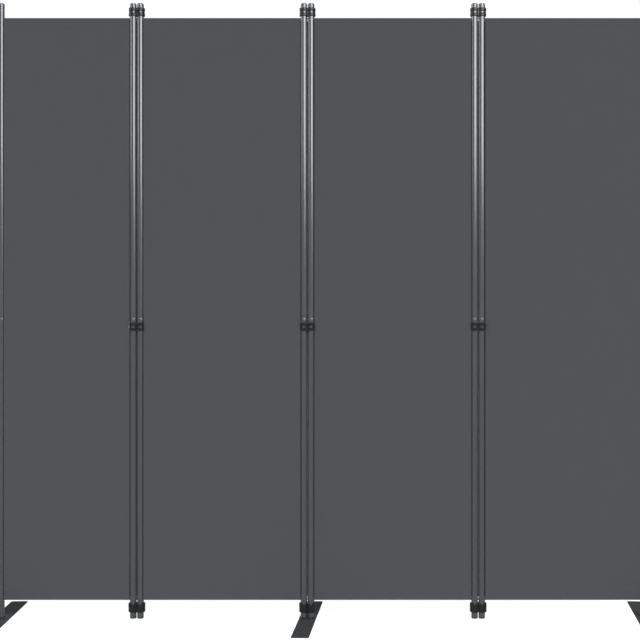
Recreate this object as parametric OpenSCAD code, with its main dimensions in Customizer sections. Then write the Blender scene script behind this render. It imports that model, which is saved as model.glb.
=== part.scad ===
// Folding screen: four panels of cloth on tube frames, joined by two-bore clips.
// Millimetres. X runs along the screen, Y away from its front, Z up from the floor.
// The origin is on the floor under the middle of the screen.

/* [Screen] */
// Height of the screen from the floor to the top of its poles
screen_h = 1800; // [1400:10:2200]
// Distance between the pole centres of a full panel
panel_w = 478; // [460:1:700]
// Distance between the pole centres of the narrower first panel
first_panel_w = 386; // [350:1:700]
// Distance between the two pole centres of a joined pair
pole_pitch = 21; // [21:0.5:30]

/* [Poles] */
// Outer diameter of a pole
pole_d = 19; // [16:0.5:19]
// Wall of a pole
pole_wall = 1; // [0.8:0.1:1.5]
// Height of the joint between the two halves of a pole
joint_z = 880; // [874:1:1200]
// Length of the narrowed neck that slides into the upper half
neck_l = 45; // [20:1:80]
// Length over which the lower half narrows inside to its neck
swage_l = 4; // [2:0.5:8]
// Length of the tapered shoulder of the lower half, just under the joint
shoulder_l = 3; // [1:0.5:3]
// Bevel on the end of the upper half, and how far the shoulder tapers in to meet it
joint_bevel = 0.5; // [0.2:0.1:0.7]
// Radial clearance of necks, stems and spigots inside a tube
slip_gap = 0.1; // [0.05:0.05:0.2]

/* [Caps and plugs] */
// Height of a cap above the end of its tube
cap_h = 6; // [5:0.5:9]
// Radius of the cap's rounded shoulder
cap_round = 4; // [2:0.5:4.5]
// Length of the cap's stem inside the tube
cap_stem_l = 18; // [10:1:24]
// Wall of the cap's hollow stem
cap_stem_wall = 1.6; // [1:0.1:3]
// Thickness of the plug's flange under the end of its tube
plug_flange_h = 4; // [2:0.5:6]
// Radius of the flange's rounded lower edge
plug_round = 1.5; // [0.5:0.5:2]
// Length of the plug's stem inside the tube
plug_stem_l = 22; // [14:1:28]
// Depth of the plug's threaded bore
plug_bore_l = 20; // [17:1:24]

/* [Rods] */
// Outer diameter of the top and bottom rods
rod_d = 12; // [10:0.5:12]
// Wall of a rod
rod_wall = 1; // [0.8:0.1:1.5]
// How far the top rod's centre lies below the top of the poles
top_rod_drop = 50; // [50:1:70]
// Height of the bottom rod's centre above the floor
bottom_rod_z = 63.5; // [61:0.5:90]
// Diameter of a ferrule's collar
ferrule_d = 12.6; // [12.2:0.2:14]
// Length of a ferrule's collar from the side of the pole
ferrule_l = 6; // [5:0.5:10]
// Length of a ferrule's spigot inside the rod
spigot_l = 14; // [10:1:30]
// Diameter of a rod screw
rod_screw_d = 5; // [4:0.5:6]
// How far a rod screw reaches past the collar
rod_screw_grip = 10; // [6:1:14]
// Diameter of a rod screw's head
rod_head_d = 9; // [8:0.5:11]
// Height of a rod screw's head over the pole
rod_head_h = 0.8; // [0.6:0.05:0.85]
// Width across the flats of the screw's hexagon socket
socket_w = 2.5; // [2:0.5:3]
// Depth of the hexagon socket
socket_l = 3; // [2:0.5:5]
// Radial clearance round a screw in a drilled tube wall
hole_gap = 0.15; // [0.1:0.05:0.3]
// Radial clearance round a screw in its thread, and under curved seats
seat_gap = 0.1; // [0.05:0.05:0.15]

/* [Fabric] */
// Thickness of the cloth
cloth_t = 0.8; // [0.6:0.1:1.2]
// Clearance between a ferrule's collar and the sleeve round it
sleeve_gap = 0.3; // [0.3:0.1:0.8]
// Distance from the side of a pole to the end of a sleeve
sleeve_setback = 1; // [0.8:0.1:5]
// Thickness of the stiffened side hem
hem_t = 0.7; // [0.5:0.05:0.75]
// Clearance between a pole and the hem round it
hem_gap = 0.05; // [0.05:0.01:0.08]
// Height left open at each rod between the hem and the sheet, from the rod's centre
hem_clear = 8; // [8:0.5:40]
// Clearance between the head of a rod screw and the hole for it in the hem
head_clear = 0.5; // [0.3:0.1:1.5]
// Angle at which the hem meets the front side of its pole, from the panel's plane
hem_start = -25; // [-35:1:-15]
// Angle from which the hem also passes behind the rods' ends, to the cloth's upper and lower edge
hem_over = 60; // [55:1:90]
// Angle at which the hem ends, just past the neighbouring pole
hem_end = 186; // [150:1:200]
// Height left free of hem above and below the middle connector
notch_gap = 1; // [0.5:0.5:8]
// Clearance between the middle connector's ring and the edge of the cloth beside it
notch_fit = 0.4; // [0.3:0.1:3]

/* [Connectors] */
// Height of a top or middle connector
clip_h = 24; // [18:1:28]
// Height of a low connector
low_clip_h = 28; // [18:1:30]
// Wall of a top or middle connector outside its bores
clip_wall = 3.4; // [2.5:0.1:3.5]
// Wall of a low connector outside its bores
low_clip_wall = 4.4; // [2.5:0.1:6]
// Radial running clearance between a connector and a pole
clip_fit = 0.1; // [0.04:0.01:0.1]
// Bevel of the outer edges of a top or middle connector
clip_bevel = 1; // [0.4:0.1:1.5]
// Bevel of the outer edges of a low connector
low_clip_bevel = 2.4; // [0.4:0.1:2.4]
// Depth of the band round the middle of a connector
band_depth = 0.8; // [0.4:0.1:1.2]
// Height of a window, on the top and middle connectors
window_h = 6; // [3:0.5:8]
// Height of the sunk band that shows above and below a window
band_margin = 0.5; // [0.2:0.1:1]
// Width of a window, and of a dip, in front of a pole
window_w = 14; // [8:0.5:15]
// Depth of the dips in a low connector's upper rim, before and behind each pole
dip_h = 5; // [2:0.5:6]
// Height of the groove on the low connector
groove_h = 2; // [1:0.5:4]
// Width of the web between the two bores, along the screen
web_x = 6; // [4:0.5:8]
// Half the depth of the web, front to back
web_y = 9; // [6:0.5:9.5]
// How far the web lies below the rims' upper and lower faces
web_inset = 0.8; // [0.3:0.1:2]
// How far the poles stand out over the top connector
top_clip_drop = 14; // [8:1:15]
// Height of the middle connector's underside
middle_clip_z = 843; // [500:1:845]
// Height of the low connector's underside
low_clip_z = 21; // [12:0.5:22]

/* [Feet] */
// Length of a foot plate, front to back
foot_l = 420; // [300:5:430]
// Width of a foot plate
foot_w = 50; // [46:1:56]
// Thickness of a foot plate
foot_t = 3; // [3:0.5:5]
// Corner radius of a foot plate
foot_corner = 3; // [1:0.5:12]
// Bevel along the upper edges of a foot plate
foot_bevel = 0.8; // [0.3:0.1:1.5]
// How far the front ends of both end feet are turned inwards, in degrees
end_foot_turn = 3.5; // [0:0.5:5]
// How far the front end of the centre foot is turned to the left, in degrees
centre_foot_turn = 1.7; // [0:0.1:4]
// Gap between a foot plate and the poles over it
stand_gap = 0.2; // [0.1:0.1:0.3]
// Diameter of a foot screw
foot_screw_d = 5; // [4:0.5:6]
// Diameter of its countersunk head
foot_head_d = 10; // [9:0.5:11]
// How far the head lies sunk under the plate
foot_head_sink = 0.2; // [0.1:0.1:0.3]
// Length of the screw above the plate
foot_screw_grip = 16; // [8:1:17]

/* [Hidden] */
$fn = 96;
cut = 1;
panels = 4;
pairs = panels - 1;
foot_pair = 1;
// Degrees from the hem's front edge to its seam with the sheet, and over which that runs
seam_inset = 2;
seam_span = 10;

pole_r = pole_d / 2;
bore_r = pole_r - pole_wall;
stem_r = bore_r - slip_gap;
pole_z = foot_t + stand_gap;
tube_z = pole_z + plug_flange_h;
tube_top = screen_h - cap_h;
top_rod_z = screen_h - top_rod_drop;
rod_bore_r = rod_d / 2 - rod_wall;
sleeve_in = ferrule_d / 2 + sleeve_gap;
sleeve_out = sleeve_in + cloth_t;
hem_in = pole_r + hem_gap;
hem_out = hem_in + hem_t;
clip_bore_r = pole_r + clip_fit;
clip_r = clip_bore_r + clip_wall;
notch_r = clip_r + notch_fit;
foot_head_h = (foot_head_d - foot_screw_d) / 2;

widths = [first_panel_w, panel_w, panel_w, panel_w];
function width_before(k) = k == 0 ? 0 : width_before(k - 1) + widths[k - 1] + pole_pitch;
screen_w = width_before(panels - 1) + widths[panels - 1];
function left_x(k) = width_before(k) - screen_w / 2;
function right_x(k) = left_x(k) + widths[k];
function pair_x(k) = right_x(k) + pole_pitch / 2;
function at(r, angle) = [r * cos(angle), r * sin(angle)];

function named(base, count) = [for (k = [1:count]) str(base, k)];

// Places its children on the left pole of panel k
module on_left_pole(k) {
    translate([left_x(k), 0, 0]) children();
}

// Places its children on the right pole of panel k, mirrored
module on_right_pole(k) {
    translate([right_x(k), 0, 0]) mirror([1, 0, 0]) children();
}

module on_both_poles(k) {
    on_left_pole(k) children();
    on_right_pole(k) children();
}

module on_both_rods() {
    for (z = [bottom_rod_z, top_rod_z]) translate([0, 0, z]) children();
}

// A cylinder along X from x = from to x = to
module along_x(from, to, r) {
    translate([from, 0, 0]) rotate([0, 90, 0]) cylinder(r = r, h = to - from);
}

// The lower half of a pole: a tube narrowed to a neck at its upper end
module lower_pole(x) {
    neck_in = stem_r - pole_wall;
    color("#87898c") translate([x, 0, 0]) difference() {
        rotate_extrude() polygon([
            [bore_r, tube_z], [pole_r, tube_z],
            [pole_r, joint_z - shoulder_l], [pole_r - joint_bevel, joint_z],
            [stem_r, joint_z], [stem_r, joint_z + neck_l - pole_wall],
            [neck_in, joint_z + neck_l], [neck_in, joint_z],
            [bore_r, joint_z - swage_l]]);
        translate([0, 0, bottom_rod_z])
            along_x(-pole_r - cut, pole_r + cut, rod_screw_d / 2 + hole_gap);
    }
}

// The upper half of a pole: a plain tube that slides over the neck
module upper_pole(x) {
    color("#9b9da1") translate([x, 0, 0]) difference() {
        rotate_extrude() polygon([
            [bore_r, joint_z], [pole_r - joint_bevel, joint_z],
            [pole_r, joint_z + joint_bevel],
            [pole_r, tube_top], [bore_r, tube_top]]);
        translate([0, 0, top_rod_z])
            along_x(-pole_r - cut, pole_r + cut, rod_screw_d / 2 + hole_gap);
    }
}

// The domed caps in the two top ends of a panel's poles
module pole_caps(k) {
    color("#8f9195") on_both_poles(k) translate([0, 0, tube_top]) {
        rotate_extrude() {
            square([pole_r - cap_round, cap_h]);
            square([pole_r, cap_h - cap_round]);
            translate([pole_r - cap_round, cap_h - cap_round])
                intersection() {
                    circle(cap_round);
                    square(cap_round);
                }
            translate([stem_r - cap_stem_wall, -cap_stem_l])
                square([cap_stem_wall, cap_stem_l]);
        }
    }
}

// The plugs in the two bottom ends, each with a threaded bore
module pole_plugs(k) {
    color("#4a4b4e") on_both_poles(k) translate([0, 0, pole_z]) difference() {
        union() {
            rotate_extrude() {
                square([pole_r - plug_round, plug_flange_h]);
                translate([0, plug_round]) square([pole_r, plug_flange_h - plug_round]);
                translate([pole_r - plug_round, plug_round]) mirror([0, 1])
                    intersection() {
                        circle(plug_round);
                        square(plug_round);
                    }
            }
            cylinder(r = stem_r, h = plug_flange_h + plug_stem_l);
        }
        translate([0, 0, -cut])
            cylinder(r = foot_screw_d / 2 + seat_gap, h = plug_bore_l + cut);
    }
}

// A cross rod between the ferrules of panel k
module rod(k, z) {
    reach = pole_r + ferrule_l;
    color("#8b8d90") translate([0, 0, z]) difference() {
        along_x(left_x(k) + reach, right_x(k) - reach, rod_d / 2);
        along_x(left_x(k), right_x(k), rod_bore_r);
    }
}

// The saddle-ended collars that carry the rods, with their spigots
module rod_ferrules(k) {
    reach = pole_r + ferrule_l;
    color("#b4b6ba") on_both_rods() on_both_poles(k) difference() {
        union() {
            along_x(pole_r / 2, reach, ferrule_d / 2);
            along_x(pole_r / 2, reach + spigot_l, rod_bore_r - slip_gap);
        }
        translate([0, 0, -ferrule_d]) cylinder(r = pole_r + seat_gap, h = 2 * ferrule_d);
        along_x(0, reach + spigot_l + cut, rod_screw_d / 2 + seat_gap);
    }
}

// The screws that pass through a pole into its ferrules, with thin curved heads
module rod_screws(k) {
    color("#c2c4c8") on_both_rods() on_both_poles(k) difference() {
        union() {
            along_x(-pole_r - rod_head_h / 2, pole_r + ferrule_l + rod_screw_grip,
                    rod_screw_d / 2);
            intersection() {
                along_x(-pole_r - 2 * rod_head_h, 0, rod_head_d / 2);
                translate([0, 0, -rod_head_d]) difference() {
                    cylinder(r = pole_r + rod_head_h, h = 2 * rod_head_d);
                    translate([0, 0, -cut])
                        cylinder(r = pole_r + seat_gap / 2, h = 2 * rod_head_d + 2 * cut);
                }
            }
        }
        translate([-pole_r - rod_head_h - cut, 0, 0]) rotate([0, 90, 0])
            cylinder(d = socket_w / cos(30), h = socket_l + cut, $fn = 6);
    }
}

// The side hem in plan, with its pole's centre at the origin and the panel towards +X
module hem_plan() {
    seam_x = max(pole_r + sleeve_setback + cloth_t, notch_r);
    middle_r = (hem_in + hem_out) / 2;
    inset = cloth_t / 4;
    difference() {
        circle(hem_out);
        circle(hem_in);
        polygon([[0, 0], at(2 * hem_out, hem_end),
                 at(3 * hem_out, (hem_end + hem_start + 360) / 2),
                 at(2 * hem_out, hem_start + 360)]);
    }
    polygon([[seam_x, inset - sleeve_out], [seam_x, -inset - sleeve_in],
             at(middle_r, hem_start + seam_inset + seam_span),
             at(middle_r, hem_start + seam_inset)]);
}

// The hem of one side, open towards the sheet at each rod, and notched for a connector
module hem(notched) {
    low = bottom_rod_z - sleeve_out;
    high = top_rod_z + sleeve_out;
    difference() {
        translate([0, 0, low]) linear_extrude(high - low) hem_plan();
        hem_opening(low - cut, bottom_rod_z + hem_clear);
        hem_opening(top_rod_z - hem_clear, high + cut);
        on_both_rods() along_x(-2 * hem_out, 0, rod_head_d / 2 + head_clear);
        if (notched)
            translate([-2 * hem_out, -2 * hem_out, middle_clip_z - notch_gap])
                cube([4 * hem_out, 4 * hem_out, clip_h + 2 * notch_gap]);
    }
}

// The opening between the hem and the sheet over a span of heights
module hem_opening(low, high) {
    translate([0, 0, low]) linear_extrude(high - low)
        polygon([[0, 0], at(3 * hem_out, hem_over), [3 * hem_out, -2 * hem_out],
                 [0, -2 * hem_out]]);
}

// The room that a panel's sheet leaves for a middle connector, round its pole's centre
module cloth_notch() {
    translate([0, 0, middle_clip_z - notch_gap])
        cylinder(r = notch_r, h = clip_h + 2 * notch_gap);
}

// One panel's cloth: a sheet with a sleeve round each rod and a hem round each pole
module fabric(k) {
    sheet_x = pole_r + sleeve_setback;
    first = k == 0;
    last = k == panels - 1;
    color("#545458") {
        difference() {
            translate([left_x(k) + sheet_x, 0, 0]) rotate([90, 0, 90])
                linear_extrude(widths[k] - 2 * sheet_x) difference() {
                    union() {
                        for (z = [bottom_rod_z, top_rod_z])
                            translate([0, z]) circle(sleeve_out);
                        translate([-sleeve_out, bottom_rod_z])
                            square([cloth_t, top_rod_z - bottom_rod_z]);
                    }
                    for (z = [bottom_rod_z, top_rod_z])
                        translate([0, z]) circle(sleeve_in);
                }
            if (!first) on_left_pole(k) cloth_notch();
            if (!last) on_right_pole(k) cloth_notch();
        }
        on_left_pole(k) hem(!first);
        on_right_pole(k) hem(!last);
    }
}

// One ring of a connector in section: two bevelled rims with a sunk band between them
module clip_ring(h, wall, bevel, band_z, band_h) {
    ring_r = clip_bore_r + wall;
    band_r = ring_r - band_depth;
    band_top = band_z + band_h;
    rotate_extrude() polygon([
        [clip_bore_r, 0], [ring_r - bevel, 0], [ring_r, bevel],
        [ring_r, band_z - band_depth], [band_r, band_z],
        [band_r, band_top], [ring_r, band_top + band_depth],
        [ring_r, h - bevel], [ring_r - bevel, h], [clip_bore_r, h]]);
}

// A connector's two rings and the web between them, with its bores open
module clip_body(h, wall, bevel, band_z, band_h) {
    difference() {
        union() {
            at_both_bores() clip_ring(h, wall, bevel, band_z, band_h);
            translate([-web_x / 2, -web_y, web_inset])
                cube([web_x, 2 * web_y, h - 2 * web_inset]);
        }
        at_both_bores() translate([0, 0, -cut]) cylinder(r = clip_bore_r, h = h + 2 * cut);
    }
}

// The room for openings before and behind each pole, over a span of heights
module clip_openings(low, high) {
    reach = pole_pitch;
    at_both_bores() translate([-window_w / 2, -reach, low])
        cube([window_w, 2 * reach, high - low]);
}

module at_both_bores() {
    for (side = [-1, 1]) translate([side * pole_pitch / 2, 0, 0]) children();
}

// A connector of pair k, at the top or half way up, with a window before and behind each pole
module windowed_connector(k, z) {
    band_h = window_h + 2 * band_margin;
    color("#1b1c1e") translate([pair_x(k), 0, z]) difference() {
        clip_body(clip_h, clip_wall, clip_bevel, (clip_h - band_h) / 2, band_h);
        clip_openings((clip_h - window_h) / 2, (clip_h + window_h) / 2);
    }
}

// The taller connector of pair k near the floor, grooved, its upper rim dipped at the poles
module low_connector(k) {
    front_h = low_clip_h - dip_h;
    color("#1b1c1e") translate([pair_x(k), 0, low_clip_z]) difference() {
        clip_body(low_clip_h, low_clip_wall, low_clip_bevel, (front_h - groove_h) / 2, groove_h);
        clip_openings(front_h, low_clip_h + cut);
    }
}

// A foot plate under x, turned seen from above, with a countersunk hole per screw
module foot(x, turn, holes) {
    inner = [foot_w - 2 * foot_corner, foot_l - 2 * foot_corner];
    bevel_w = foot_bevel * sqrt(2);
    color("#424446") translate([x, 0, 0]) difference() {
        rotate([0, 0, turn]) difference() {
            linear_extrude(foot_t) {
                square([foot_w, inner[1]], center = true);
                square([inner[0], foot_l], center = true);
                for (sx = [-1, 1], sy = [-1, 1])
                    translate([sx * inner[0] / 2, sy * inner[1] / 2]) circle(foot_corner);
            }
            for (s = [-1, 1]) {
                translate([s * foot_w / 2, 0, foot_t]) rotate([0, 45, 0])
                    cube([bevel_w, foot_l + cut, bevel_w], center = true);
                translate([0, s * foot_l / 2, foot_t]) rotate([45, 0, 0])
                    cube([foot_w + cut, bevel_w, bevel_w], center = true);
            }
        }
        for (h = holes) translate([h, 0, 0]) {
            translate([0, 0, -cut])
                cylinder(r = foot_screw_d / 2 + hole_gap, h = foot_t + 2 * cut);
            translate([0, 0, foot_head_sink])
                cylinder(r1 = foot_head_d / 2 + hole_gap, r2 = foot_screw_d / 2 + hole_gap,
                         h = foot_head_h);
            translate([0, 0, -cut])
                cylinder(r = foot_head_d / 2 + hole_gap, h = foot_head_sink + cut);
        }
    }
}

// Countersunk screws from below, up into the plugs of the poles over a foot
module foot_screws(x, holes) {
    color("#a9abae") for (h = holes) translate([x + h, 0, foot_head_sink]) {
        difference() {
            union() {
                cylinder(r1 = foot_head_d / 2, r2 = foot_screw_d / 2, h = foot_head_h);
                cylinder(r = foot_screw_d / 2, h = foot_t - foot_head_sink + foot_screw_grip);
            }
            translate([0, 0, -cut])
                cylinder(d = socket_w / cos(30), h = socket_l + cut, $fn = 6);
        }
    }
}

single = [0];
double = [-pole_pitch / 2, pole_pitch / 2];

for (k = [0:panels - 1]) {
    n = k + 1;
    fabric(k);
    upper_pole(left_x(k));
    lower_pole(left_x(k));
    upper_pole(right_x(k));
    lower_pole(right_x(k));
    rod(k, top_rod_z);
    rod(k, bottom_rod_z);
    rod_ferrules(k);
    rod_screws(k);
    pole_caps(k);
    pole_plugs(k);
}
for (k = [0:pairs - 1]) {
    n = k + 1;
    windowed_connector(k, screen_h - top_clip_drop - clip_h);
    windowed_connector(k, middle_clip_z);
    low_connector(k);
}
foot(left_x(0), end_foot_turn, single);  // left_foot
foot(pair_x(foot_pair), -centre_foot_turn, double);  // centre_foot
foot(right_x(panels - 1), -end_foot_turn, single);  // right_foot
foot_screws(left_x(0), single);  // left_foot_screw
foot_screws(pair_x(foot_pair), double);  // centre_foot_screws
foot_screws(right_x(panels - 1), single);  // right_foot_screw
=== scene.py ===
# %% [markdown]
# A folding screen: four panels of dark grey cloth, each stretched on a frame of two steel poles
# and two cross rods. Black plastic connectors with two bores join neighbouring poles, so that
# each panel can fold against the next, and three flat steel feet hold the screen up.
# The sizes, the joints and the inner pieces come from a imported model, called the frame here.
# This lesson adds what a frame can't hold: cloth, seams, finishes, light and a camera.
# It starts by loading the frame.

# %% The frame
import math

import bmesh
import bpy
from mathutils import Matrix, Vector, noise


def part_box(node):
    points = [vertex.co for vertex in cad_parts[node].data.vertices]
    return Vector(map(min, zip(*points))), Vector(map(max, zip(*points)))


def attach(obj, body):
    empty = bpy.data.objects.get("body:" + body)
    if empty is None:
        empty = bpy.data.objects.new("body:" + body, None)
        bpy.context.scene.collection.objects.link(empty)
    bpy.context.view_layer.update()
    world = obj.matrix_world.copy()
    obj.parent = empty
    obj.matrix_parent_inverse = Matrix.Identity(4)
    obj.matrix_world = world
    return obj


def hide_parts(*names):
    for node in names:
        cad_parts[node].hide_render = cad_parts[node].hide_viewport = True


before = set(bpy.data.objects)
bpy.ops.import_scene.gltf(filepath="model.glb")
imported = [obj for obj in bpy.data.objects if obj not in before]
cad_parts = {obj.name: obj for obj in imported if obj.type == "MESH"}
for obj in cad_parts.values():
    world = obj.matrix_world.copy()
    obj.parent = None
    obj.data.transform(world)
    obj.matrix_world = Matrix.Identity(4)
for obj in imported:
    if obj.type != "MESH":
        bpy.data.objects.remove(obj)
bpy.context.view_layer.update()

mm = 0.001
panels = range(1, 5)

# %% [markdown]
# The photograph looks straight at the screen from a little right of its middle, at about half
# its height, with a fairly long lens. Upright poles stay parallel in it, so the camera is
# level. The camera's own middle line meets the picture right of its centre, so a small
# sideways shift brings the screen back into the picture, as a view camera would.

# %% The camera
picture_w = 640
sensor_w = 36
focal_pixels = 1189
vanishing_pixel = 395.95
camera_place = Vector((0.2125, -3.477, 0.8746))

lens = bpy.data.cameras.new("camera")
lens.sensor_width = sensor_w
lens.lens = focal_pixels / picture_w * sensor_w
lens.shift_x = (picture_w / 2 - vanishing_pixel) / picture_w
camera = bpy.data.objects.new("camera", lens)
camera.location = camera_place
camera.rotation_euler = (math.radians(90), 0, 0)
bpy.context.scene.collection.objects.link(camera)
bpy.context.scene.camera = camera
print("lens", round(lens.lens, 1), "mm, shift", round(lens.shift_x, 3))

# %% [markdown]
# Two helpers come before any finish. Colours are written as sRGB hex values, as a paint chart
# gives them, and a shader wants linear light, so one function turns one into the other.
# The other adds a node to a node tree, sets it up and links it, in a single call.

# %% Helpers for finishes
def to_linear(hex_colour):
    """An sRGB hex colour as linear red, green, blue and full alpha."""
    channels = [int(hex_colour[i:i + 2], 16) / 255 for i in (1, 3, 5)]
    return [c / 12.92 if c <= 0.04045 else ((c + 0.055) / 1.055) ** 2.4 for c in channels] + [1]


def add_node(tree, kind, settings=(), links=()):
    """Adds a node of a kind. settings are properties or socket values, links are sockets to feed."""
    node = tree.nodes.new(kind)
    for name, value in dict(settings).items():
        if isinstance(name, str) and hasattr(node, name):
            setattr(node, name, value)
        else:
            node.inputs[name].default_value = value
    for name, source in dict(links).items():
        tree.links.new(source, node.inputs[name])
    return node


def new_finish(name, colour, **values):
    """A material with its shader set to one colour, and values for other sockets by their names."""
    finish = bpy.data.materials.new(name)
    finish.use_nodes = True
    shader = finish.node_tree.nodes["Principled BSDF"]
    shader.inputs["Base Color"].default_value = to_linear(colour)
    for socket, value in values.items():
        shader.inputs[socket.replace("_", " ")].default_value = value
    return finish, finish.node_tree, shader


print("mid grey is", round(to_linear("#808080")[0], 3), "in linear light")

# %% [markdown]
# A bump pattern is described by the real size of its grains. A noise texture on object
# coordinates, which are metres here, has about one blob per unit at scale 1, so a grain of
# half a millimetre needs a scale of 2000. Mixing two shades by the same noise gives the
# slight unevenness that every coated surface has.

# %% Grain and shade
def grain(tree, grain_mm, detail=2.0):
    """The value of a noise with grains of a real size in millimetres."""
    place = add_node(tree, "ShaderNodeTexCoord")
    pattern = add_node(tree, "ShaderNodeTexNoise", {"Scale": 1 / (grain_mm * mm), "Detail": detail},
                       {"Vector": place.outputs["Object"]})
    return pattern.outputs["Fac"]


def add_bump(tree, shader, height, depth_mm, strength):
    """Makes a height pattern raise the surface by a real depth in millimetres."""
    bump = add_node(tree, "ShaderNodeBump", {"Strength": strength, "Distance": depth_mm * mm},
                    {"Height": height})
    tree.links.new(bump.outputs["Normal"], shader.inputs["Normal"])


def add_shades(tree, shader, pattern, dark, light):
    """Lets a pattern carry the base colour from a dark shade to a light one."""
    mixed = add_node(tree, "ShaderNodeMix", {"data_type": "RGBA"})
    mixed.inputs[6].default_value = to_linear(dark)
    mixed.inputs[7].default_value = to_linear(light)
    tree.links.new(pattern, mixed.inputs["Factor"])
    tree.links.new(mixed.outputs[2], shader.inputs["Base Color"])


def add_range(tree, shader, pattern, socket, low, high):
    """Lets a pattern carry a socket of the shader between two values."""
    spread = add_node(tree, "ShaderNodeMapRange", {"To Min": low, "To Max": high},
                      {"Value": pattern})
    tree.links.new(spread.outputs["Result"], shader.inputs[socket])


print("a grain of 0.5 mm needs a scale of", round(1 / (0.5 * mm)))

# %% [markdown]
# The poles and rods are steel tube under a silver-grey powder coat. The powder holds fine
# aluminium flake, so the coat is mostly metal to the eye: it mirrors the bright studio panels
# as soft stripes and turns dull grey where it sees the dark side of the room. Baking leaves a
# faint orange-peel skin, with swellings one or two millimetres wide.

# %% Silver powder coat
def silver_powder_coat():
    finish, tree, shader = new_finish("silver_powder_coat", "#96999d", Metallic=0.85, Roughness=0.22)
    add_bump(tree, shader, grain(tree, grain_mm=1.6), depth_mm=0.012, strength=0.5)
    add_shades(tree, shader, grain(tree, grain_mm=35), "#93969a", "#999ca0")
    add_range(tree, shader, grain(tree, grain_mm=12), "Roughness", low=0.2, high=0.25)
    return finish


tube_finish = silver_powder_coat()
print("made", tube_finish.name)

# %% [markdown]
# Caps are moulded ABS, lacquered in the colour of the tubes. Lacquer on plastic is a little
# softer in its gloss than powder on steel. The plugs at the lower ends are plain dark
# polyethylene, which is waxy and dull.

# %% Lacquered and plain plastics
def lacquered_abs():
    finish, tree, shader = new_finish("lacquered_abs", "#96999d", Metallic=0.8, Roughness=0.27)
    add_shades(tree, shader, grain(tree, grain_mm=8), "#93969a", "#999ca0")
    add_bump(tree, shader, grain(tree, grain_mm=0.8), depth_mm=0.006, strength=0.4)
    return finish


def dark_polyethylene():
    finish, tree, shader = new_finish("dark_polyethylene", "#3c3d40", Roughness=0.5, IOR=1.51)
    add_shades(tree, shader, grain(tree, grain_mm=6), "#38393c", "#404144")
    add_bump(tree, shader, grain(tree, grain_mm=0.5), depth_mm=0.01, strength=0.4)
    return finish


cap_finish = lacquered_abs()
plug_finish = dark_polyethylene()
print("made", cap_finish.name, "and", plug_finish.name)

# %% [markdown]
# The connectors are injection-moulded black nylon. The mould is spark eroded, which leaves a
# fine even grain, about 0.3 mm wide, and a satin black that still shows a grey stripe where
# it mirrors a bright panel.

# %% Black nylon
def black_nylon():
    finish, tree, shader = new_finish("black_nylon", "#1d1e20", Roughness=0.3, IOR=1.53,
                                      Specular_IOR_Level=0.8)
    add_shades(tree, shader, grain(tree, grain_mm=4), "#1a1b1d", "#202224")
    add_bump(tree, shader, grain(tree, grain_mm=0.3), depth_mm=0.02, strength=0.5)
    return finish


nylon_finish = black_nylon()
print("made", nylon_finish.name)

# %% [markdown]
# Screws are zinc-plated steel: bright, bluish and slightly cloudy, because the clear
# passivation over the zinc is uneven. The ferrules between the poles and the rods are turned
# steel with a phosphate coat, a dark grey crystal layer that kills the gloss of the metal.

# %% Zinc and phosphate
def zinc_plate():
    finish, tree, shader = new_finish("zinc_plated_steel", "#b9bdc3", Metallic=1.0, Roughness=0.32)
    add_shades(tree, shader, grain(tree, grain_mm=3, detail=4.0), "#aeb3ba", "#c4c8cc")
    add_range(tree, shader, grain(tree, grain_mm=2), "Roughness", low=0.26, high=0.4)
    add_bump(tree, shader, grain(tree, grain_mm=0.4), depth_mm=0.004, strength=0.4)
    return finish


def phosphated_steel():
    finish, tree, shader = new_finish("phosphated_steel", "#55575a", Metallic=0.8, Roughness=0.5)
    add_shades(tree, shader, grain(tree, grain_mm=1.5, detail=4.0), "#4f5154", "#5b5d60")
    add_bump(tree, shader, grain(tree, grain_mm=0.3), depth_mm=0.01, strength=0.4)
    return finish


zinc_finish = zinc_plate()
phosphate_finish = phosphated_steel()
print("made", zinc_finish.name, "and", phosphate_finish.name)

# %% [markdown]
# The feet are cut from steel plate and coated with a textured powder in a dark grey. Such a
# powder shrinks into a fine sand-like grit while it bakes, with grains of about half a
# millimetre, which scatters light and hides scuffs.

# %% Textured powder coat
def textured_powder_coat():
    finish, tree, shader = new_finish("textured_powder_coat", "#46484b", Roughness=0.6, IOR=1.5)
    add_shades(tree, shader, grain(tree, grain_mm=0.7, detail=3.0), "#404245", "#4c4e51")
    add_bump(tree, shader, grain(tree, grain_mm=0.5, detail=3.0), depth_mm=0.06, strength=0.6)
    return finish


foot_finish = textured_powder_coat()
print("made", foot_finish.name)

# %% [markdown]
# The cloth is a plain-woven polyester canvas. Warp threads run up the panel and weft threads
# across it, and each passes over and under the others in turn. A checker picks which thread
# is on top in each cell, and a sine wave across that thread gives its round back. The
# pattern reads the cloth's own UV map, which holds the flat cut in metres, so the weave
# follows the cloth round its rods. Real threads are about 0.5 mm apart, too fine for this
# picture, so they are drawn 1 mm apart. The same wave also darkens the base colour in the
# gaps between the backs, as painted shade, and a noise drawn out along the warp gives the
# slubs, thicker and thinner lengths of yarn, that keep real cloth from looking printed.
# The wave texture repeats every tenth of pi at scale 1, which sets the waves' scale.

# %% Woven canvas
thread_gap = 1.0 * mm
wave_period = math.pi / 10
slub_w = 2 * thread_gap
slub_l = 125 * mm
slub_share = 0.4


def thread_backs(tree, place, direction):
    """The round backs of parallel threads, as a wave across them."""
    wave = add_node(tree, "ShaderNodeTexWave",
                    {"bands_direction": direction, "Scale": wave_period / thread_gap},
                    {"Vector": place})
    return wave.outputs["Fac"]


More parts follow.
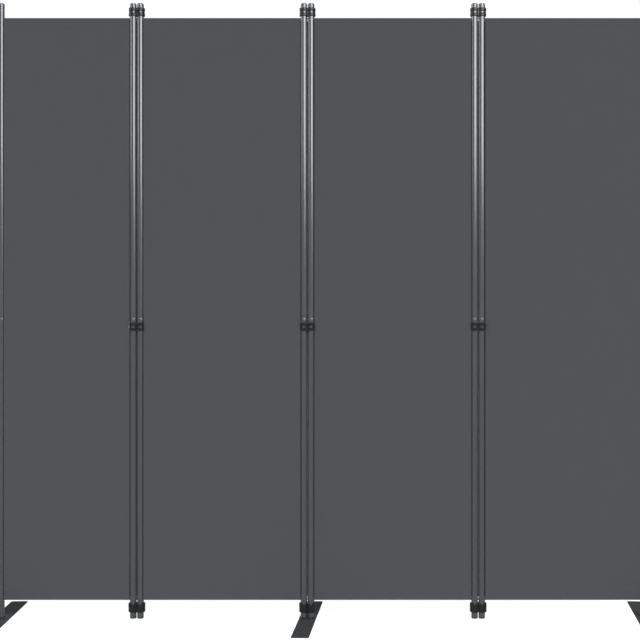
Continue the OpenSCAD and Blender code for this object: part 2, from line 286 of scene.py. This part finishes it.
def slubs(tree, place):
    """The uneven thickness of the yarn, as a noise drawn out along the warp."""
    yarn = add_node(tree, "ShaderNodeMapping", {"Scale": (1 / slub_w, 1 / slub_l, 1)},
                    {"Vector": place})
    noisy = add_node(tree, "ShaderNodeTexNoise", {"Scale": 1.0, "Detail": 3.0},
                     {"Vector": yarn.outputs["Vector"]})
    return noisy.outputs["Fac"]


def woven_canvas():
    finish, tree, shader = new_finish("woven_polyester_canvas", "#47494d", Roughness=0.85, IOR=1.5,
                                      Specular_IOR_Level=0.25, Sheen_Weight=0.15,
                                      Sheen_Roughness=0.5)
    place = add_node(tree, "ShaderNodeUVMap", {"uv_map": "cut"}).outputs["UV"]
    on_top = add_node(tree, "ShaderNodeTexChecker", {"Scale": 1 / thread_gap}, {"Vector": place})
    backs = add_node(tree, "ShaderNodeMix", {"data_type": "FLOAT"},
                     {"Factor": on_top.outputs["Fac"], 2: thread_backs(tree, place, "X"),
                      3: thread_backs(tree, place, "Y")})
    add_bump(tree, shader, backs.outputs[0], depth_mm=0.2, strength=0.5)
    # The base colour mixes the real slubs with painted shade, darker in the gaps between the threads'
    # backs.
    slubs_and_gap_shade = add_node(tree, "ShaderNodeMix", {"data_type": "FLOAT", "Factor": slub_share},
                     {2: backs.outputs[0], 3: slubs(tree, place)})
    add_shades(tree, shader, slubs_and_gap_shade.outputs[0], "#404246", "#4e5054")
    return finish


canvas_finish = woven_canvas()
print("threads every", thread_gap / mm, "mm")

# %% [markdown]
# The seams are sewn with polyester thread, a shade lighter than the cloth. Fine mottling and
# bump stand for the lay of its twisted filaments, and it shines a little more than the canvas.

# %% Sewing thread
def sewing_thread():
    finish, tree, shader = new_finish("polyester_sewing_thread", "#515356", Roughness=0.55,
                                      IOR=1.5, Sheen_Weight=0.2)
    lay = grain(tree, grain_mm=0.4, detail=1.0)
    add_shades(tree, shader, lay, "#4c4e51", "#57595c")
    add_bump(tree, shader, lay, depth_mm=0.05, strength=0.5)
    return finish


thread_finish = sewing_thread()
print("made", thread_finish.name)

# %% [markdown]
# The rigid pieces keep the shapes of the frame, so each only gets its finish. A piece takes
# the finish of the first of these words that is in its name, so the longer words come first.

# %% Finishes on the frame
node_finishes = {
    "pole_caps": cap_finish, "pole_plugs": plug_finish, "pole": tube_finish,
    "top_rod": tube_finish, "bottom_rod": tube_finish, "connector": nylon_finish,
    "rod_ferrules": phosphate_finish, "rod_screws": zinc_finish, "foot_screw": zinc_finish,
    "foot": foot_finish, "fabric": canvas_finish,
}
for name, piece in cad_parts.items():
    kind = next(k for k in node_finishes if k in name)
    piece.data.materials.clear()
    piece.data.materials.append(node_finishes[kind])
print("dressed", len(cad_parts), "nodes of the frame")

# %% [markdown]
# Now the cloth. Each panel has a sheet of canvas that lies flat between its two poles, near
# their fronts. At the top and bottom it turns round a rod, comes back behind it and is sewn to
# itself, which makes a sleeve. Along each side a strip of the same canvas is sewn to the
# sheet's back and turns round the back of the pole as a stiff hem, as far as the gap to the
# next pole. Beside a middle connector the sheet's edge steps back, to leave it room.
# The sheet is made as it is laid out: one upright row of points is drawn out sideways, and
# then the top and bottom edges are drawn on round the rods. Every point carries its place on
# the flat cut, which becomes the UV map.

# %% Places of the cloth
cloth_t = 0.7 * mm
# The sheet's place in depth, and how near it comes to a pole's axis, also beside a connector.
sheet_y = -7.0 * mm
sheet_edge = 9.8 * mm
notch_edge = 11.5 * mm
notch_gap = 0.3 * mm


def middle(node):
    """The middle of a node's box."""
    low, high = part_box(node)
    return (low + high) / 2


def spaced(start, end, step):
    """Evenly spaced values from start to end, about a step apart, without start."""
    count = max(1, round(abs(end - start) / step))
    return [start + (end - start) * (i + 1) / count for i in range(count)]


def pole_at(side, n):
    """The place along the screen of a panel's left or right pole."""
    return middle(f"{side}_upper_pole_{n}").x


low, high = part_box("middle_connector_1")
notch = (low.z - notch_gap, high.z + notch_gap)
rods = (middle("bottom_rod_1").z, middle("top_rod_1").z)
joined = [("left", n) for n in panels if n > 1] + [("right", n) for n in panels if n < 4]
print("notch from", round(notch[0], 4), "to", round(notch[1], 4), "at", len(joined), "poles")

# %% [markdown]
# `draw_on` is the one tool that the cloth needs. It extrudes a row of edges once for each
# point of a path, and adds the length of every step to the flat cut's coordinate.

# %% Drawing cloth on along a path
def draw_on(bm, edges, path, layer, sign):
    """Extrudes edges along a path of points, adding each step's length to a layer of the points."""
    for start, end in zip(path, path[1:]):
        step = Vector(end) - Vector(start)
        made = bmesh.ops.extrude_edge_only(bm, edges=edges)["geom"]
        points = [g for g in made if isinstance(g, bmesh.types.BMVert)]
        bmesh.ops.translate(bm, verts=points, vec=step)
        for point in points:
            point[layer] += sign * step.length
        fresh = set(points)
        edges = [g for g in made if isinstance(g, bmesh.types.BMEdge) and set(g.verts) <= fresh]


def upright(bm, x, y, heights, along):
    """A row of points above each other, joined by edges, at their heights on the flat cut."""
    column = [bm.verts.new((x, y, z)) for z in heights]
    for point in column:
        point[along] = point.co.z
    return [bm.edges.new(pair) for pair in zip(column, column[1:])]


def new_cloth():
    """An empty bmesh whose points can carry their place on the flat cut, across and along it."""
    bm = bmesh.new()
    return bm, bm.verts.layers.float.new("across"), bm.verts.layers.float.new("along")


print("a sheet is drawn out between", round(rods[0], 3), "and", round(rods[1], 3), "m")

# %% [markdown]
# The sleeve's path, seen from the side, goes over the rod in an arc, leaves it on a tangent
# and lies down on the sheet's back. Near the poles it also has to pass over the side hem,
# which lies between the two, so it is lifted there by one thickness of cloth.

# %% The sleeves' path
arc_step = math.radians(12)
arc_end = math.radians(211)
lap_reach = 24 * mm
lap_l = 12 * mm
# A point on the way from the arc to the lap, as shares of the lap's depth and reach.
halfway_y, halfway_z = 0.45, 0.65


def sleeve_path(side):
    """Offsets from the rod's centre, over the top rod for side 1 and under the bottom one for -1."""
    points = []
    for angle in [0] + spaced(0, arc_end, arc_step):
        points.append((sheet_y * math.cos(angle), -sheet_y * math.sin(angle)))
    lap_y = sheet_y + cloth_t
    points.append((lap_y * halfway_y, -lap_reach * halfway_z))
    points += [(lap_y, -lap_reach), (lap_y, -lap_reach - lap_l)]
    return [Vector((0, y, side * z)) for y, z in points]


print("sleeve path of", len(sleeve_path(1)), "points")

# %% [markdown]
# Cloth that is pulled tight still isn't a mirror: it has long shallow swells, a third of a
# millimetre high, that fade out towards its sewn edges. Smooth noise gives them.

# %% Laps and swells
hem_lap = 19 * mm
lap_ramp = 6 * mm
swell_h = 0.35 * mm
# How fast the swells follow each other, across and up, in noise units to the metre.
swell_across, swell_up = 6, 3.2
# Distances from a sewn edge over which the swells grow to their full height.
swell_from = 40 * mm
swell_full = 140 * mm


def fade(value, start, end):
    """0 up to start, 1 from end on and a smooth step between them."""
    t = min(max((value - start) / (end - start), 0), 1)
    return t * t * (3 - 2 * t)


def settle(bm, left, right):
    """Lifts the laps over the side hems and gives the flat sheet its shallow swells."""
    for point in bm.verts:
        x, y, z = point.co
        inside = min(x - left, right - x)
        rod = min(z - rods[0], rods[1] - z)
        if y > sheet_y + cloth_t / 2:
            if rod > lap_reach - mm:
                point.co.y += cloth_t * (1 - fade(inside, hem_lap, hem_lap + lap_ramp))
        else:
            held = fade(inside, swell_from, swell_full) * fade(rod, swell_from, swell_full)
            place = Vector((x * swell_across, left, z * swell_up))
            point.co.y += swell_h * held * noise.noise(place)


print("swells of up to", round(swell_h / mm, 2), "mm")

# %% [markdown]
# The finished mesh gets its UV map from the two layers, smooth shading and a Solidify
# modifier for the cloth's thickness. It then replaces the plain solid of the frame.

# %% From a bmesh to a piece of cloth
def to_piece(name, bm, finish, body):
    """Turns a bmesh into a named piece with a finish, attached to a body."""
    mesh = bpy.data.meshes.new(name)
    bm.to_mesh(mesh)
    bm.free()
    mesh.materials.append(finish)
    mesh.polygons.foreach_set("use_smooth", [True] * len(mesh.polygons))
    piece = bpy.data.objects.new(name, mesh)
    bpy.context.scene.collection.objects.link(piece)
    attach(piece, body)
    return piece


def canvas_piece(name, n, bm, across, along):
    """Finishes a piece of canvas of panel n, and gives its flat cut's size and area."""
    cut = bm.loops.layers.uv.new("cut")
    for face in bm.faces:
        for corner in face.loops:
            corner[cut].uv = (corner.vert[across], corner.vert[along])
    bmesh.ops.recalc_face_normals(bm, faces=bm.faces)
    size = [max(v[k] for v in bm.verts) - min(v[k] for v in bm.verts) for k in (across, along)]
    area = sum(face.calc_area() for face in bm.faces)
    piece = to_piece(name, bm, canvas_finish, f"panel_{n}")
    thick = piece.modifiers.new("thickness", "SOLIDIFY")
    thick.thickness = cloth_t
    thick.offset = 0
    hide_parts(f"fabric_{n}")
    print(f"{name}: cut {size[0] / mm:.0f} x {size[1] / mm:.0f} mm, {area:.3f} m2")
    return piece, size, min(area, size[0] * size[1])


print("the cloth is", round(cloth_t / mm, 2), "mm thick")

# %% [markdown]
# The sheet itself. Its rows of faces end exactly at the notches, so that a notch is made by
# deleting the faces inside it.

# %% The sheets
row_step = 16 * mm
column_step = 14 * mm
tiny = 1e-6


def cut_notches(bm, n, left, right):
    """Takes the sheet's edge away beside a middle connector."""
    gone = []
    for face in bm.faces:
        place = face.calc_center_median()
        beside = [(s, x) for s, x in (("left", left), ("right", right)) if abs(place.x - x) < notch_edge]
        if beside and (beside[0][0], n) in joined and notch[0] < place.z < notch[1]:
            gone.append(face)
    bmesh.ops.delete(bm, geom=gone, context="FACES")


def sheet(n):
    """Draws out the sheet of panel n, with its two sleeves and its notches."""
    left, right = pole_at("left", n), pole_at("right", n)
    heights = [rods[0]]
    for stop in (*notch, rods[1]):
        heights += spaced(heights[-1], stop, row_step)
    bm, across, along = new_cloth()
    edges = upright(bm, left + sheet_edge, sheet_y, heights, along)
    stops = [left + sheet_edge, left + notch_edge]
    stops += spaced(left + notch_edge, right - notch_edge, column_step) + [right - sheet_edge]
    draw_on(bm, edges, [(x, 0, 0) for x in stops], across, 1)
    for side, z in ((1, rods[1]), (-1, rods[0])):
        edges = [e for e in bm.edges if e.is_boundary and all(abs(v.co.z - z) < tiny for v in e.verts)]
        draw_on(bm, edges, sleeve_path(side), along, side)
    cut_notches(bm, n, left, right)
    settle(bm, left, right)
    return bm, across, along


sheets = {n: canvas_piece(f"cloth_{n}", n, *sheet(n)) for n in panels}

# %% [markdown]
# A hem's path, seen from above, starts flat on the sheet's back, swings back to the side of
# the pole and follows it round the back. It stands a little off the pole there, so that it
# almost touches the next panel's hem, and no light shows between the two. Beside a middle
# connector the hem stops, so that the connector grips the bare pole. The two outermost poles
# have no connector and no stop.

# %% The hems' path
hem_start = 19 * mm
hem_bend = 14 * mm
# Points of the swing from the sheet to the pole, in millimetres from the pole's axis.
hem_swing = ((12.9, -6.1), (11.8, -5.35), (10.8, -4.15), (10.1, -2.9))
hem_radius = 10.1 * mm
hem_from = math.radians(-12)
hem_to = math.radians(186)
hem_step = math.radians(6)


def hem_path(side):
    """Offsets in plan from the pole's centre, for a panel that lies towards side."""
    flat_y = sheet_y + cloth_t
    points = [(hem_start, flat_y), (hem_bend, flat_y)]
    points += [(x * mm, y * mm) for x, y in hem_swing]
    for angle in [hem_from] + spaced(hem_from, hem_to, hem_step):
        points.append((hem_radius * math.cos(angle), hem_radius * math.sin(angle)))
    return [Vector((side * x, y, 0)) for x, y in points]


print("hem path of", len(hem_path(1)), "points")

# %% [markdown]
# At each rod the hem is cut open where the rod meets the pole, and has a hole for the head of
# the screw. The hem's rows lie close together there, the faces inside an opening are deleted,
# and the points round each screw's hole are moved from their stepped edge onto a circle.

# %% Side hems
hem_clear = 8 * mm
fine_row = 1.25 * mm
coarse_row = 60 * mm
hole_r = 4.6 * mm
hole_catch = 1.4 * mm
# The opening at a rod, in degrees round the pole from the panel's side.
open_from, open_to = -130, 60


def hem_rows():
    """The heights of a hem's rows: close together round the screws' heads, wide elsewhere."""
    low, high = rods[0] + sheet_y - cloth_t / 2, rods[1] - sheet_y + cloth_t / 2
    rows = [low]
    for stop in (rods[0] - hole_r, rods[0] + hole_r, rods[0] + hem_clear):
        rows += spaced(rows[-1], stop, fine_row)
    for stop in (*notch, rods[1] - hem_clear):
        rows += spaced(rows[-1], stop, coarse_row)
    for stop in (rods[1] - hole_r, rods[1] + hole_r, high):
        rows += spaced(rows[-1], stop, fine_row)
    return rows


def open_hem(bm, side, n, inward):
    """Cuts the openings at the rods, the screws' holes and the notch into a hem."""
    x = pole_at(side, n)
    gone = []
    for face in bm.faces:
        place = face.calc_center_median()
        rod = min(rods, key=lambda z: abs(place.z - z))
        angle = math.degrees(math.atan2(place.y, (place.x - x) * inward))
        beyond = place.z < rods[0] + hem_clear or place.z > rods[1] - hem_clear
        at_sheet = open_from < angle < open_to
        at_head = abs(angle) > 90 and math.hypot(place.y, place.z - rod) < hole_r
        at_notch = (side, n) in joined and notch[0] < place.z < notch[1]
        if (beyond and at_sheet) or at_head or at_notch:
            gone.append(face)
    bmesh.ops.delete(bm, geom=gone, context="FACES")
    round_holes(bm, x, inward)


def round_holes(bm, x, inward):
    """Moves the stepped edges of the screws' holes onto their circles."""
    for point in {v for e in bm.edges if e.is_boundary for v in e.verts}:
        rod = min(rods, key=lambda z: abs(point.co.z - z))
        reach = math.hypot(point.co.y, point.co.z - rod)
        outside = (point.co.x - x) * inward < 0
        if outside and point.co.y > 0 and abs(reach - hole_r) < hole_catch:
            point.co.y *= hole_r / reach
            point.co.z = rod + (point.co.z - rod) * hole_r / reach
            point.co.x = x - inward * math.sqrt(hem_radius ** 2 - point.co.y ** 2)


def hem(side, n):
    """Draws the hem round the left or right pole of panel n, with its openings."""
    inward = 1 if side == "left" else -1
    path = hem_path(inward)
    bm, across, along = new_cloth()
    start = path[0] + Vector((pole_at(side, n), 0, 0))
    edges = upright(bm, start.x, start.y, hem_rows(), along)
    draw_on(bm, edges, path, across, -inward)
    open_hem(bm, side, n, inward)
    return bm, across, along


hems = {(side, n): canvas_piece(f"{side}_hem_{n}", n, *hem(side, n))
        for n in panels for side in ("left", "right")}

# %% [markdown]
# The seams are lockstitched. On both faces of the cloth that shows as a row of short dashes,
# where the thread dips in and comes up again. A dash is a tiny stretched sphere. A row of
# hundreds comes from doubling: one dash is copied beside itself, then the two, then the four,
# and what runs past the end is cut away. The machine's stitch is 4 mm, and the thread is
# drawn 0.5 mm thick, a little more than real, to be seen at all.

# %% Stitches
stitch = 4 * mm
dash = 3.1 * mm
thread_r = 0.25 * mm


def sew(bm, start, end):
    """Sews one row of dashes from start to end, which lie level or upright."""
    start, end = Vector(start), Vector(end)
    run = end - start
    lay = run.to_track_quat("Z", "Y").to_matrix().to_4x4()
    size = Matrix.Diagonal((thread_r, thread_r, dash / 2, 1))
    place = Matrix.Translation(start + run.normalized() * stitch / 2) @ lay @ size
    row = bmesh.ops.create_uvsphere(bm, u_segments=5, v_segments=4, radius=1, matrix=place)["verts"]
    done, count = 1, round(run.length / stitch)
    while done < count:
        copied = list({e for v in row for e in (*v.link_edges, *v.link_faces)}) + row
        fresh = bmesh.ops.duplicate(bm, geom=copied)["geom"]
        fresh = [g for g in fresh if isinstance(g, bmesh.types.BMVert)]
        bmesh.ops.translate(bm, verts=fresh, vec=run.normalized() * stitch * done)
        row += fresh
        done *= 2
    past = [v for v in row if (v.co - start).dot(run.normalized()) > count * stitch]
    bmesh.ops.delete(bm, geom=past, context="VERTS")
    return count


print("about", round(1 / stitch), "stitches to the metre")

# %% [markdown]
# Two rows hold each sleeve's lap and one row holds each side hem. The rows on the back of a
# sleeve stop short of the poles, where the lap rises over the hem.

# %% Seams
sleeve_seams = (26.5 * mm, 33 * mm)
hem_seam = 15.5 * mm
front_inset = 12 * mm
back_inset = 26 * mm
seam_end = 2 * mm
# How far a dash's middle stands off the cloth, as a share of its radius.
thread_stands = 0.4


def hem_spans(side, n):
    """The heights between which a hem is sewn to the sheet."""
    low, high = rods[0] + hem_clear, rods[1] - hem_clear
    return [(low, notch[0]), (notch[1], high)] if (side, n) in joined else [(low, high)]


def sew_panel(n):
    """Sews two rows along each sleeve and one along each side hem, on both faces of the cloth."""
    left, right = pole_at("left", n), pole_at("right", n)
    bm = bmesh.new()
    made = 0
    front = sheet_y - cloth_t / 2 - thread_r * thread_stands
    back = sheet_y + cloth_t * 1.5 + thread_r * thread_stands
    for rod, inward in ((rods[0], 1), (rods[1], -1)):
        for off in sleeve_seams:
            z = rod + inward * off
            for y, inset in ((front, front_inset), (back, back_inset)):
                made += sew(bm, (left + inset, y, z), (right - inset, y, z))
    for side, inward in (("left", 1), ("right", -1)):
        x = pole_at(side, n) + inward * hem_seam
        for low, high in hem_spans(side, n):
            for y in (front, back):
                made += sew(bm, (x, y, low + seam_end), (x, y, high - seam_end))
    bmesh.ops.recalc_face_normals(bm, faces=bm.faces)
    print(f"seams_{n}: {made} stitches, {len(bm.faces)} faces")
    return to_piece(f"seams_{n}", bm, thread_finish, f"panel_{n}")


seams = {n: sew_panel(n) for n in panels}

# %% [markdown]
# Each sheet and each hem has the size it was cut to, which canvas_piece prints. The sheet is stretched
# between its rods, and its seams go with it.

# %% The cut of the cloth
print("declared", len(sheets) + len(hems), "sheets of cloth")

# %% [markdown]
# The floor is plain and pale, and it glows enough to be almost as white as the photograph's.
# It is part of the studio. The tubes shouldn't mirror it, because
# the photograph's lower halves are dull.

# %% The floor
floor_reach = 12
floor_glow = 0.78


def pale_floor():
    """A square floor whose edges lie floor_reach metres from the middle."""
    finish, tree, shader = new_finish("pale_studio_floor", "#f4f4f4", Roughness=0.9,
                                      Emission_Strength=floor_glow)
    shader.inputs["Emission Color"].default_value = to_linear("#ffffff")
    bm = bmesh.new()
    bmesh.ops.create_grid(bm, x_segments=1, y_segments=1, size=floor_reach)
    mesh = bpy.data.meshes.new("studio_floor")
    bm.to_mesh(mesh)
    bm.free()
    mesh.materials.append(finish)
    floor = bpy.data.objects.new("studio_floor", mesh)
    floor.visible_glossy = False
    bpy.context.scene.collection.objects.link(floor)
    return floor


floor = pale_floor()
print("floor of", floor.dimensions.x, "m")

# %% [markdown]
# The photograph is lit by a broad soft light from the front, above the right, and by two
# upright panels at the sides that only show as stripes on the glossy pieces. The stripes fade
# out half way down the poles, because the panels hang high above the camera.

# %% The light
def aim(lamp, place, target):
    """Puts a lamp in its place and turns it towards a target."""
    lamp.location = place
    lamp.rotation_euler = (Vector(target) - Vector(place)).to_track_quat("-Z", "Y").to_euler()


def soft_sun(name, strength, spread, place):
    """Even light from one side, with a spread in degrees that softens its shadows."""
    light = bpy.data.lights.new(name, "SUN")
    light.energy = strength
    light.angle = math.radians(spread)
    lamp = bpy.data.objects.new(name, light)
    bpy.context.scene.collection.objects.link(lamp)
    aim(lamp, place, (0, 0, 0))


def stripe_panel(name, radiance, size, place, target):
    """A light panel that shows only in reflections, with a given brightness of its face."""
    light = bpy.data.lights.new(name, "AREA")
    light.shape = "RECTANGLE"
    light.size, light.size_y = size
    light.energy = radiance * math.pi * size[0] * size[1]
    lamp = bpy.data.objects.new(name, light)
    lamp.visible_diffuse = False
    lamp.visible_camera = False
    bpy.context.scene.collection.objects.link(lamp)
    aim(lamp, place, target)


panel_z = 2.96
soft_sun("key", strength=1.5, spread=14, place=(0.3, -1.0, 0.9))
stripe_panel("right_panel", radiance=2.0, size=(4.7, 2.6),
             place=(2.24, -2.74, panel_z), target=(2.24, 0, panel_z))
stripe_panel("left_panel", radiance=1.8, size=(1.4, 2.6),
             place=(-3.2, -0.45, panel_z), target=(0, 0, panel_z))
print("hung", len(bpy.data.lights), "lights")

# %% [markdown]
# The world is white to the camera, like the photograph's background, and a dimmer grey to
# the surfaces, dimmest of all in their reflections. There it also falls off from the left to
# the right, which gives the tubes their darker right-hand sides, and it is brighter behind
# the screen, where the white background is. That lights up the ledges of the connectors.

# %% The world
white = (1, 1, 1, 1)
seen_strength = 1.0
fill_strength = 0.35
mirrored_left, mirrored_right = 0.15, 0.095
# From this share of the way to straight behind, reflections brighten by up to behind_strength.
behind_start = 0.3
behind_strength = 0.12

world = bpy.data.worlds.new("studio")
world.use_nodes = True
bpy.context.scene.world = world
tree = world.node_tree
tree.nodes.clear()
seen = add_node(tree, "ShaderNodeBackground", {"Color": white, "Strength": seen_strength})
fill = add_node(tree, "ShaderNodeBackground", {"Color": white, "Strength": fill_strength})
towards = add_node(tree, "ShaderNodeSeparateXYZ", (),
                   {0: add_node(tree, "ShaderNodeTexCoord").outputs["Generated"]})
falling = add_node(tree, "ShaderNodeMapRange",
                   {"From Min": -1.0, "From Max": 1.0, "To Min": mirrored_left,
                    "To Max": mirrored_right}, {"Value": towards.outputs["X"]})
behind = add_node(tree, "ShaderNodeMapRange",
                  {"From Min": behind_start, "From Max": 1.0, "To Min": 0.0,
                   "To Max": behind_strength}, {"Value": towards.outputs["Y"]})
both = add_node(tree, "ShaderNodeMath", {"operation": "ADD"},
                {0: falling.outputs["Result"], 1: behind.outputs["Result"]})
mirrored = add_node(tree, "ShaderNodeBackground", {"Color": white},
                    {"Strength": both.outputs["Value"]})
ray = add_node(tree, "ShaderNodeLightPath")
lit = add_node(tree, "ShaderNodeMixShader", (), {0: ray.outputs["Is Glossy Ray"],
                                                 1: fill.outputs[0], 2: mirrored.outputs[0]})
shown = add_node(tree, "ShaderNodeMixShader", (), {0: ray.outputs["Is Camera Ray"],
                                                   1: lit.outputs[0], 2: seen.outputs[0]})
add_node(tree, "ShaderNodeOutputWorld", (), {"Surface": shown.outputs[0]})
bpy.context.scene.view_settings.view_transform = "Standard"
print("world of", len(tree.nodes), "nodes")
